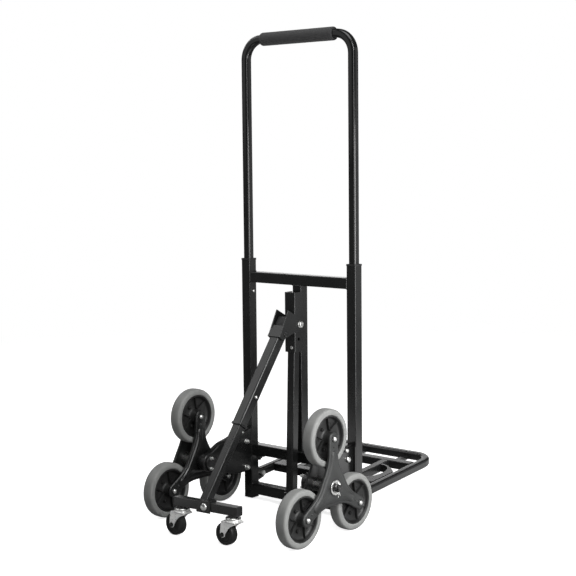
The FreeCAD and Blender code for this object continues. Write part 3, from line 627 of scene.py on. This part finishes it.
hub = centre("star_hub_right")
nut_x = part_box("star_plates_right")[1].x / MM + 2.5
boss_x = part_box("axle_arms")[1].x / MM
axle_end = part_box("stub_axles")[1].x / MM
rings, nuts, pins = Build(), Build(), Build()
rings.lathe([(0, 16.2), (0.2, 16.5), (1.6, 16.5), (2.3, 16.0), (2.5, 15.2), (2.5, 11.2), (2.1, 10.6),
             (1.5, 10.2), (1.4, 5.7), (0, 5.7)], 64, moved(nut_x), around=True)
castle_nut(nuts, nut_x + 2.6)
rings.washer(15, 8.1, 1.6, moved(boss_x + 0.2), 56)
PIN_R = 0.85
pin_x = axle_end - 3
eye = [(pin_x, 2.5 * math.sin(t), 10.6 - 2.7 * math.cos(t))
       for t in (math.radians(25 + 310 * i / 14) for i in range(15))]
pins.pipe([(pin_x, 0.8, 6)] + eye + [(pin_x, -0.8, 6)], PIN_R, 8)
for s in (-1, 1):
    leg = [(pin_x, s * 0.8, 7), (pin_x, s * 0.8, -9), (pin_x + s * 0.3, s * 1.2, -12.5),
           (pin_x + s * 0.6, s * 2.0, -15.5 + s * 1.0), (pin_x + s * 0.9, s * 3.2, -18.0 + s * 1.6)]
    pins.pipe(smooth_line(leg, 4), PIN_R, 8)
at = (0, hub.y, hub.z)
for side, sign in SIDES:
    first = sign > 0
    piece("axle_washers_" + side, rings, "zinc", "frame", ["axle_nuts"] if first else (),
          mirror=not first, at=at)
    piece("axle_nut_" + side, nuts, "black_coat", "frame", mirror=not first, at=at)
    piece("cotter_pin_" + side, pins, "zinc", "frame", ["cotter_pins"] if first else (),
          mirror=not first, at=at)

# stub axles: round bar with a stepped end and a flange disc against the arm's inner face
axle = Build()
axle.lathe([(143.0, 0.0001), (143.0, 8.0), (nut_x - 0.8, 8.0), (nut_x - 0.3, 7.4), (nut_x - 0.3, 5.5),
            (axle_end - 0.7, 5.5), (axle_end, 4.8), (axle_end, 2.0), (axle_end - 1.5, 0.0001)], 48)
DISC_R = 19
disc = [(4 + DISC_R * math.cos(t), DISC_R * math.sin(t)) for t in (math.radians(7.5 * k) for k in range(48))]
axle.loops([[(x, y * (1 - e / DISC_R), z * (1 - e / DISC_R)) for y, z in disc] for x, e in
            ((144.9, 0.8), (144.3, 0.0), (141.6, 0.0), (141.0, 0.8))])
for side, sign in SIDES:
    piece("stub_axle_" + side, axle, "black_coat", "frame", ["stub_axles"] if sign > 0 else (),
          mirror=sign < 0, at=at)

# ------------------------------------------------------------ axle arms


def rim_loops(outline, x_a, x_b, edge):
    """Rounded-edge slab: loops of an outline from one face to the other, moved in along its normals."""
    n = len(outline)
    norm = []
    for i in range(n):
        d = Vector(outline[(i + 1) % n]) - Vector(outline[i - 1])
        norm.append(Vector((d.y, -d.x)).normalized())
    area = sum(outline[i - 1][0] * outline[i][1] - outline[i][0] * outline[i - 1][1] for i in range(n))
    if area < 0:
        norm = [-v for v in norm]
    steps = [math.radians(22.5 * i) for i in range(5)]
    rings = []
    for face, way, turns in ((x_a, 1, steps), (x_b, -1, reversed(steps))):
        for t in turns:
            inset, x = edge * (1 - math.sin(t)), face + way * edge * (1 - math.cos(t))
            rings.append([(x, p[0] - v.x * inset, p[1] - v.y * inset) for p, v in zip(outline, norm)])
    return rings


post_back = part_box("outer_posts")[0].y / MM
post_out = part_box("outer_posts")[1].x / MM
ARM_IN, ARM_OUT = 145.0, 163.0      # the arm's two faces
HUB_Y, HUB_Z = hub.y, hub.z


def arm_outline():
    """(y, z) outline of one pressed arm, from the post back round the axle."""
    top = [(post_back, 177), (post_back - 14, 177), (post_back - 32, 176), (post_back - 47, 169.5),
           (HUB_Y + 70, 161.5), (HUB_Y + 40, 155), (HUB_Y + 19, 145)]
    arc = [(HUB_Y + 21 * math.cos(a), HUB_Z + 21 * math.sin(a))
           for a in (math.radians(t) for t in range(82, 285, 14))]
    low = [(HUB_Y + 21, 93), (HUB_Y + 55, 82), (HUB_Y + 95, 72.5), (post_back - 16, 71.5), (post_back, 74)]
    return [(p.y, p.z) for p in smooth_line([(0, *p) for p in top + arc + low], 4)]


b = Build()
b.loops(rim_loops(arm_outline(), ARM_IN, ARM_OUT, 2.6))
ridge = [(HUB_Y + 74, HUB_Z - 9), (HUB_Y + 100, HUB_Z - 12.5), (HUB_Y + 128, HUB_Z - 15.5),
         (post_back - 1, HUB_Z - 17)]
for x in (ARM_IN, ARM_OUT):
    b.pipe([(x, y, z) for y, z in ridge], 0.9, 10)
b.lathe([(ARM_OUT - 1, 19.5), (ARM_OUT + 1.2, 18.2), (ARM_OUT + 2.4, 17.2), (boss_x - 0.5, 17.0),
         (boss_x, 16.5)], 56, moved(0, HUB_Y, HUB_Z))
# tab against the post
b.loops([[(x, post_back, low), (x, post_back - 3, low), (x, post_back - 3, top), (x, post_back, top)]
         for x, low, top in ((ARM_IN, 71, 176), (post_out, 74, 172))])
for side, sign in SIDES:
    piece("axle_arm_" + side, b, "black_coat", "frame", ["axle_arms"] if sign > 0 else (), mirror=sign < 0)

# arm bolts: two and a small one through the webs, two on the axle flange
INWARD, OUTWARD = (-1, 0, 0), (1, 0, 0)
b = Build()
for z in (82.0, 145.0):
    y = post_back - 19.5
    b.washer(6.4, 4, 1.0, along(INWARD, (ARM_IN - 0.1, y, z)), 32)
    b.hexhead(10.5, 4.2, along(INWARD, (ARM_IN - 1.1, y, z)))
    b.lathe([(0, 3.9), (3.4, 3.9), (4.2, 3.2)], 20, along(INWARD, (ARM_IN - 5.0, y, z)))
    b.lathe([(0, 7.4), (0.8, 7.4), (2.2, 6.9), (3.6, 5.6), (4.5, 3.6), (4.9, 1.4), (4.95, 0.01)], 32,
            along(OUTWARD, (ARM_OUT, y, z)))
y, z = post_back - 30.5, 168.0
b.lathe([(0, 3.1), (1.0, 2.9), (1.8, 2.0), (2.1, 0.01)], 20, along(INWARD, (ARM_IN, y, z)))
b.lathe([(0, 4.6), (6.2, 4.6), (7.0, 3.8), (7.0, 0.01)], 32, along(OUTWARD, (ARM_OUT, y, z)))
for s in (-1, 1):
    m = along(INWARD, (ARM_IN - 4.1, HUB_Y - 3, HUB_Z + s * 12.5))
    b.hexhead(8, 4.4, m)
    b.lathe([(0, 2.9), (9.0, 2.9), (9.8, 2.3)], 16, m)
for side, sign in SIDES:
    piece("arm_bolt_set_" + side, b, "zinc", "frame", ["arm_bolts"] if sign > 0 else (), mirror=sign < 0)

# ------------------------------------------------------------ strut

# pivot bolt of the strut, screw in the bracket's web, cross bolt of the rear tube's foot, clevis bolt
joints = {j["name"]: j for j in frame["record"]["behaviour"]["joints"]}
pivot = Vector(joints["strut_fold"]["pos_m"]) / MM
side_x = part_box("strut_clevis")[1].x / MM
web_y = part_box("strut_bracket")[0].y / MM
foot_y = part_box("rear_tube_foot")[0].y / MM + 13.0
b = Build()
for s in (-1, 1):
    b.lathe([(0, 7.8), (1.3, 7.8), (1.7, 7.3), (1.7, 5.1)], 40,
            along((s, 0, 0), (s * (side_x + 0.3), pivot.y, pivot.z)))
    b.hexhead(12.5, 4.2 if s > 0 else 5.6, along((s, 0, 0), (s * (side_x + 2.0), pivot.y, pivot.z)), dome=0.5)
b.lathe([(0, 4.0), (1.0, 4.0), (1.9, 3.2), (2.3, 1.6), (2.4, 0.01)], 28, along((0, -1, 0), (5.5, web_y, 386)))
for s in (-1, 1):
    b.hexhead(9.5, 4.2, along((s, 0, 0), (s * 12.95, foot_y, 34)))
piece("bracket_bolt_set", b, "zinc", "frame", ["bracket_bolts"])
cross = centre("strut_bolt")
b = Build()
for s in (-1, 1):
    b.lathe([(0, 6.0), (1.2, 6.0), (2.0, 5.4), (2.5, 3.8), (2.55, 0.01)], 32,
            along((s, 0, 0), (s * side_x, cross.y, cross.z)))
piece("clevis_bolt", b, "black_coat", "strut", ["strut_bolt"])

# plastic cap on the strut's upper end, its outer tube, and the rolled lip round the tube's lower end;
# lean puts the clevis bolt at the origin and +Z up the tube
slide = Vector(joints["strut_slide"]["axis"]).normalized()
lean = Matrix.Translation(cross) @ Vector(-slide).to_track_quat("Z", "X").to_matrix().to_4x4()
STRUT_TOP = 36.0                             # above the bolt
STRUT_LONG, STRUT_BUTTON = 273.0, 200.0      # down from the top
HOLE_R = 4.0
low = STRUT_TOP - STRUT_LONG

b = Build()
b.loops([square_ring(h, z, c) for h, z, c in
         ((13.2, 16.0, 2.4), (13.4, 16.6, 2.4), (13.4, 36.4, 2.4), (13.0, 37.6, 2.4), (11.6, 38.8, 2.4),
          (5.0, 41.4, 1.6), (2.0, 41.9, 0.8))], m=lean)
piece("strut_end_cap", b, "black_plastic", "strut", ["strut_cap"], smooth=25)

rings = [square_ring(h, z, c, 6) for h, z, c in
         ((12.5, low, 3.2), (12.5, STRUT_TOP, 3.2), (11.0, STRUT_TOP, 2.4), (11.0, low, 2.4))]
press = lean @ Vector((0, 0, STRUT_TOP - STRUT_BUTTON))
button_hole = ((8, press.y, press.z), OUTWARD, HOLE_R, 6)
bolt_hole = ((-14, cross.y, cross.z), OUTWARD, HOLE_R, 28)
piece("strut_outer", Build().loops(rings + rings[:1], caps=(False, False), m=lean), "black_coat", "strut",
      ["strut_tube"], bevel=0.3, holes=[button_hole, bolt_hole])

rings = [square_ring(h, low + up, c) for h, up, c in
         ((12.3, -1.0, 2.0), (13.2, -1.0, 2.4), (13.7, -0.4, 2.6), (13.8, 1.4, 2.6), (13.4, 3.6, 2.5),
          (12.45, 4.4, 2.0))]
piece("strut_lip", Build().loops(rings + rings[:1], caps=(False, False), m=lean), "black_coat", "strut")

# ------------------------------------------------------------ casters

TRAIL = 20.0    # from a caster's wheel to its swivel line
CHEEK_IN, CHEEK_OUT = 12.0, 14.3
RACE = [(55.0, 5.1), (55.0, 17.2), (55.6, 18.0), (57.2, 18.0), (57.9, 17.3), (58.3, 15.9), (59.0, 15.5),
        (60.1, 15.5), (60.5, 15.0), (60.5, 5.1)]
FORK_EDGE = [(16.5, 54.0), (16.0, 51.2), (9.0, 48.4), (0.5, 43.4), (-7.5, 35.0), (-13.2, 26.5)]
FORK_BACK = [(-26.2, 30), (-25.2, 42), (-23.6, 50), (-22.5, 54.0)]
WRAP = [(-22.3, 54), (-23.6, 49), (-25.2, 41), (-26.2, 31)]
FORK_TOP = ((16.5, 14.3), (-22.5, 14.3), (-22.5, -14.3), (16.5, -14.3))
TREAD = [(0, 25.0), (5.5, 24.9), (8.0, 24.2), (9.3, 22.6), (9.5, 20.8), (9.2, 19.2), (7.4, 18.6), (6.9, 17.6),
         (6.9, 10.4), (7.6, 9.2), (10.8, 8.2), (11.2, 7.6), (11.2, 4.1)]
fork_end = [(-TRAIL + 6.4 * math.cos(a), 25.0 + 6.4 * math.sin(a))
            for a in (math.radians(t) for t in range(-10, -181, -17))]
cheek = [(p.x, p.y) for p in smooth_line(FORK_EDGE, 5)] + fork_end + FORK_BACK

for side, _ in SIDES:
    wx, _, wz = centre("caster_wheel_" + side)
    cx, cy = wx + TRAIL, centre("caster_yoke_" + side).y
    swivel = moved(cx, cy)
    b = Build()
    b.lathe(RACE, 64, upright(cx, cy), around=True)
    for s in (-1, 1):
        b.loops([[(p, y, z) for p, z in cheek] for y in (s * CHEEK_IN, s * CHEEK_OUT)], m=swivel)
        b.loops([[(p, y, z) for p, z in WRAP] + [(p + 2.2, y, z) for p, z in reversed(WRAP)]
                 for y in (s * (CHEEK_OUT - 0.2), s * (CHEEK_OUT - 6.5))], m=swivel)
    b.loops([[(x, y, z) for x, y in FORK_TOP] for z in (52.6, 55.0)], m=swivel)
    piece("yoke_" + side, b, "polished_yoke", "caster_" + side, ["caster_yoke_" + side], bevel=0.5, smooth=40)

    b = Build()
    roll = moved(wx, cy, wz) @ Matrix.Rotation(math.pi / 2, 4, "Z")
    b.lathe(TREAD + [(-x, r) for x, r in reversed(TREAD[1:])], 72, roll, around=True)
    for s in (-1, 1):
        for k in range(5):
            spoke = [[(s * x, y, z) for x, z in ((5.0, -1.2), (5.0, 1.2), (top, 0.8), (top, -0.8))]
                     for y, top in ((9, 8.2), (18.4, 8.0))]
            b.loops(spoke, m=roll @ Matrix.Rotation(math.radians(72 * k + 12), 4, "X"))
    piece("caster_tread_" + side, b, "caster_black", "caster_roller_" + side, ["caster_wheel_" + side],
          smooth=32)

    b = Build()
    for s in (-1, 1):
        b.washer(5.2, 3.9, 0.8, along((0, s, 0), (wx, cy + s * 14.4, wz)), 28)
        b.hexhead(8, 2.6, along((0, s, 0), (wx, cy + s * 15.2, wz)), dome=0.5)
    b.lathe([(-15, 3.9), (15, 3.9)], 20, roll)
    piece("caster_pin_" + side, b, "black_coat", "caster_" + side, ["caster_axle_" + side])

# cross bar hardware: clamp bolt through the saddle, necks and upper race rings over the casters
square = Matrix.Translation(centre("t_bar")) @ Matrix.Rotation(math.radians(5.0), 4, "Z")
b, necks = Build(), Build()
b.lathe([(0, 8.4), (0.9, 8.4), (2.2, 7.9), (3.8, 6.4), (4.8, 4.2), (5.2, 0.01)], 36,
        square @ along((0, -1, 0), (0, -12.5, 0)))
b.lathe([(-13, 3.9), (20.0, 3.9), (20.6, 3.2)], 24, square @ along((0, 1, 0)))
b.hexhead(13, 6.3, square @ along((0, 1, 0), (0, 12.6, 0)))
for side, _ in SIDES:
    c = centre("caster_wheel_" + side)
    m = upright(c.x + TRAIL, c.y)
    b.lathe([(61.0, 5.1), (61.0, 15.4), (61.5, 17.0), (63.0, 17.0), (63.9, 16.2), (64.5, 14.6), (64.5, 5.1)],
            64, m, around=True)
    b.lathe([(49.3, 8.0), (52.2, 8.0)], 32, m)
    necks.lathe([(64.5, 10.6), (67.4, 10.6), (67.9, 10.0), (67.9, 2.0)], 48, m)
piece("t_bar_bolts", b, "zinc", "strut_leg", ["t_bar_hardware"])
piece("caster_necks", necks, "black_coat", "strut_leg")

# ------------------------------------------------------------ bent tubes of the handle and the toe plate

TUBE_HALF, TUBE_WALL, TUBE_BEND = 10.0, 1.5, 46.0
BUTTON_HOLE_X, BUTTON_HOLE_Z, BUTTON_HOLE_R = 146.5, 506, 4.4
# the cut starts just outside a leg's inner face
lo, hi = box_mm("handle_tube")
mid_y = (lo.y + hi.y) / 2
stand = moved(0, mid_y, lo.z) @ Matrix.Rotation(math.pi / 2, 4, "X")
bow = bent_tube(hi.x - TUBE_HALF, hi.z - TUBE_HALF - lo.z, TUBE_BEND, TUBE_HALF, 6.5, TUBE_WALL, stand)
piece("handle_bow", bow, "black_coat", "handle", ["handle_tube"], bevel=0.3, look="gloss_coat",
      holes=[((s * BUTTON_HOLE_X, mid_y, BUTTON_HOLE_Z), (s, 0, 0), BUTTON_HOLE_R, 5) for s in (-1, 1)])

TOE_X, TOE_LONG, TOE_TAIL, TOE_SLOPE, HINGE_HOLE_R = 160.0, 294.0, 8.0, 5.2, 4.05
hinge = Vector(joints["toe_plate_fold"]["pos_m"]) / MM
slope = Matrix.Translation(hinge) @ Matrix.Rotation(math.radians(TOE_SLOPE), 4, "X") @ moved(0, -TOE_TAIL)
rail = bent_tube(TOE_X, TOE_LONG, TUBE_BEND, TUBE_HALF, 5.6, TUBE_WALL, slope)
piece("toe_rail", rail, "black_coat", "toe_plate", ["toe_frame"], bevel=0.3,
      holes=[((-200, hinge.y, hinge.z), OUTWARD, HINGE_HOLE_R, 400)])

# ------------------------------------------------------------ foam grip

lo, hi = box_mm("handle_grip")
mid, half_long, grip_r = (lo + hi) / 2, (hi.x - lo.x) / 2, (hi.z - lo.z) / 2
ends = [(-1, 10.6), (-1, 12.6), (-0.997, 14.0), (-0.988, 14.9), (-0.972, 15.3)]     # radii for a grip of 15.5
stations = ends + [(-0.95 + 1.9 * i / 60, None) for i in range(61)] + [(-s, r) for s, r in reversed(ends)]
rings = []
for s, r in stations:
    x = s * half_long
    row = []
    for k in range(40):
        a = 2 * math.pi * k / 40
        rr = grip_r if r is None else r * grip_r / 15.5
        p = Vector((x, rr * math.cos(a), rr * math.sin(a)))
        swell = 0.16 * noise.noise(p * 0.035 + Vector((3, 1, 7)))
        rr -= abs(swell) + (0.12 if r is None else 0)
        row.append((mid.x + x, mid.y + rr * math.cos(a), mid.z + rr * math.sin(a)))
    rings.append(row)
sleeve = Build().loops(rings + rings[:1], caps=(False, False))
grip = piece("foam_grip", sleeve, "grip_foam", "handle", ["handle_grip"], smooth=60)

# ------------------------------------------------------------ weld beads

BEAD_R = 1.5


def bead(b, corners):
    """Weld bead along a closed loop of corner points."""
    path = []
    n = len(corners)
    for i in range(n):
        p, q = Vector(corners[i]), Vector(corners[(i + 1) % n])
        steps = max(2, int((q - p).length / 1.6))
        path += [p.lerp(q, (k + 0.5) / steps) for k in range(steps)]
    b.pipe(path, BEAD_R, 8, closed=True, wobble=0.45)


WELD_HALF = 12.3                        # half the width of the welded tubes
CROSSBAR_Z = (25.5, 123.0, 540.0)
CORNERS = ((-WELD_HALF, -WELD_HALF), (WELD_HALF, -WELD_HALF), (WELD_HALF, WELD_HALF), (-WELD_HALF, WELD_HALF))
b = Build()
inner, y0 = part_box("crossbars")[1].x / MM, centre("crossbars").y
for z in CROSSBAR_Z:
    for s in (-1, 1):
        bead(b, [(s * (inner - 0.4), y0 + dy, z + dz) for dy, dz in CORNERS])
y0 = centre("centre_post").y
for end in box_mm("centre_post"):
    bead(b, [(dx, y0 + dy, end.z) for dx, dy in CORNERS])
piece("frame_welds", b, "black_coat", "frame", smooth=60)

# ------------------------------------------------------------ finish of the carried-over nodes

subparts = frame["record"].get("subparts", [])
slot_of = {sub["node"]: sub["material_slot"] for sub in subparts if "node" in sub and "material_slot" in sub}
for name, obj in nodes.items():
    old = obj.material_slots[0].material.name.split(".")[0] if obj.material_slots else ""
    slot = old if old in MATERIALS else slot_of.get(name, "black_coat")
    for ms in obj.material_slots:
        ms.material = MATERIALS[slot]
    if obj.hide_render:
        continue
    weld = obj.modifiers.new("join", "WELD")
    weld.merge_threshold = 0.00001
    flat = obj.modifiers.new("flat", "DECIMATE")
    flat.decimate_type, flat.angle_limit = "DISSOLVE", math.radians(1.0)
    soften(obj, 0.45)

# ------------------------------------------------------------ floor, lights, camera


def pool(m, at, radius, strength):
    """Patch of the floor that glows, unseen by the camera, to throw more light on to the object: a painted pool
    of light.
    """
    d = m.node("ShaderNodeVectorMath", operation="DISTANCE")
    m.link(m.where, d.inputs[0])
    d.inputs[1].default_value = at
    return m.ramp(d.outputs["Value"], 0.1, radius, strength, 0.0)


FLOOR_BOUNCE, FLOOR_SEEN = (0.27, 0.27, 0.27), (0.93, 0.93, 0.93)


def shade_floor():
    """Pale floor that fades into the backdrop; it bounces less light than the camera sees."""
    m = Mat("studio_floor", Roughness=0.8)
    seen = m.node("ShaderNodeLightPath").outputs["Is Camera Ray"]
    unseen = m.add(1.0, seen, "SUBTRACT")
    m.set("Base Color", m.blend(seen, FLOOR_BOUNCE, FLOOR_SEEN))
    m.shader.inputs["Emission Color"].default_value = (1, 1, 1, 1)
    away = m.node("ShaderNodeVectorMath", operation="LENGTH")
    m.link(m.where, away.inputs[0])
    far = m.ramp(away.outputs["Value"], 0.9, 3.2, 0.0, 1.0)
    glow = m.node("ShaderNodeEmission")
    m.link(m.add(seen, m.ramp(away.outputs["Value"], 2.0, 6.0, 0.08, 0.18), "MAXIMUM"), glow.inputs["Strength"])
    # two glowing floor patches, hidden from the camera, that act as lamps under the object
    glow_patches = m.add(pool(m, (0.5, 0.55, 0.0), 0.7, 1.1), pool(m, (-0.42, -0.8, 0.0), 0.42, 1.1))
    lit = m.ramp(seen, 0.0, 1.0, 0.0, 0.76)
    m.set("Emission Strength", m.add(lit, m.add(glow_patches, unseen, "MULTIPLY")))
    mix = m.node("ShaderNodeMixShader")
    m.link(far, mix.inputs[0])
    m.link(m.shader.outputs[0], mix.inputs[1])
    m.link(glow.outputs[0], mix.inputs[2])
    m.link(mix.outputs[0], m.tree.nodes["Material Output"].inputs["Surface"])
    return m.mat


FLOOR_HALF, FLOOR_Z = 40, -0.0005
mesh = bpy.data.meshes.new("floor")
mesh.from_pydata([(x * FLOOR_HALF, y * FLOOR_HALF, FLOOR_Z) for x, y in ((-1, -1), (1, -1), (1, 1), (-1, 1))],
                 [], [(0, 1, 2, 3)])
mesh.materials.append(shade_floor())
floor = bpy.data.objects.new("floor", mesh)
bpy.context.scene.collection.objects.link(floor)

# white backdrop for the camera, a dim one for everything else
world = bpy.data.worlds.new("studio")
bpy.context.scene.world = world
world.use_nodes = True
tree = world.node_tree
back = tree.nodes["Background"]
back.inputs["Color"].default_value = (1, 1, 1, 1)
back.inputs["Strength"].default_value = 1.0
dim = tree.nodes.new("ShaderNodeBackground")
dim.inputs["Color"].default_value = (1, 1, 1, 1)
dim.inputs["Strength"].default_value = 0.06
seen = tree.nodes.new("ShaderNodeLightPath")
pick = tree.nodes.new("ShaderNodeMixShader")
tree.links.new(seen.outputs["Is Camera Ray"], pick.inputs[0])
tree.links.new(dim.outputs[0], pick.inputs[1])
tree.links.new(back.outputs[0], pick.inputs[2])
tree.links.new(pick.outputs[0], tree.nodes["World Output"].inputs["Surface"])


def softbox(name, at, aim, size, power):
    data = bpy.data.lights.new(name, "AREA")
    data.shape, data.size, data.size_y, data.energy = "RECTANGLE", size[0], size[1], power
    obj = bpy.data.objects.new(name, data)
    obj.location = at
    obj.rotation_euler = (Vector(aim) - Vector(at)).to_track_quat("-Z", "Y").to_euler()
    bpy.context.scene.collection.objects.link(obj)


softbox("key", (1.0, -0.05, 0.48), (0.15, -0.2, 0.15), (0.45, 0.9), 12.5)
softbox("rim", (1.35, -0.8, 1.75), (0.0, -0.2, 0.3), (0.3, 0.9), 12)
softbox("corner", (1.75, -1.45, 0.7), (0.0, 0.0, 0.6), (0.5, 1.9), 15)
softbox("ridge", (-1.65, 0.2, 1.9), (0.0, -0.2, 0.2), (0.25, 1.0), 5)
softbox("top", (0.4, -0.4, 2.4), (0.0, -0.1, 0.3), (1.5, 1.1), 18)
softbox("strut", (-1.4, -0.8, 1.9), (0.0, -0.15, 0.3), (1.1, 1.1), 5.5)
softbox("back", (-2.1, 2.5, 0.8), (0.0, 0.0, 0.3), (3.0, 1.3), 17)
softbox("side", (2.0, 2.4, 0.75), (0.1, 0.0, 0.5), (2.2, 2.6), 8)
softbox("front", (-2.2, -2.4, 1.5), (0.0, 0.0, 0.6), (1.4, 1.3), 3)

CAMERA_AT = (1.9093, -2.2988, 0.8281)
CAMERA_TURN, CAMERA_TIP, CAMERA_ROLL = 40.03, 90 - 5.84, -0.56
cam = bpy.data.cameras.new("camera")
cam.lens, cam.sensor_width = 81.3, 36.0
cam.clip_start, cam.clip_end = 0.1, 200
cam_obj = bpy.data.objects.new("camera", cam)
cam_obj.matrix_world = (Matrix.Translation(CAMERA_AT)
                        @ Matrix.Rotation(math.radians(CAMERA_TURN), 4, "Z")
                        @ Matrix.Rotation(math.radians(CAMERA_TIP), 4, "X")
                        @ Matrix.Rotation(math.radians(CAMERA_ROLL), 4, "Z"))
bpy.context.scene.collection.objects.link(cam_obj)
bpy.context.scene.camera = cam_obj
bpy.context.scene.view_settings.view_transform = "Standard"
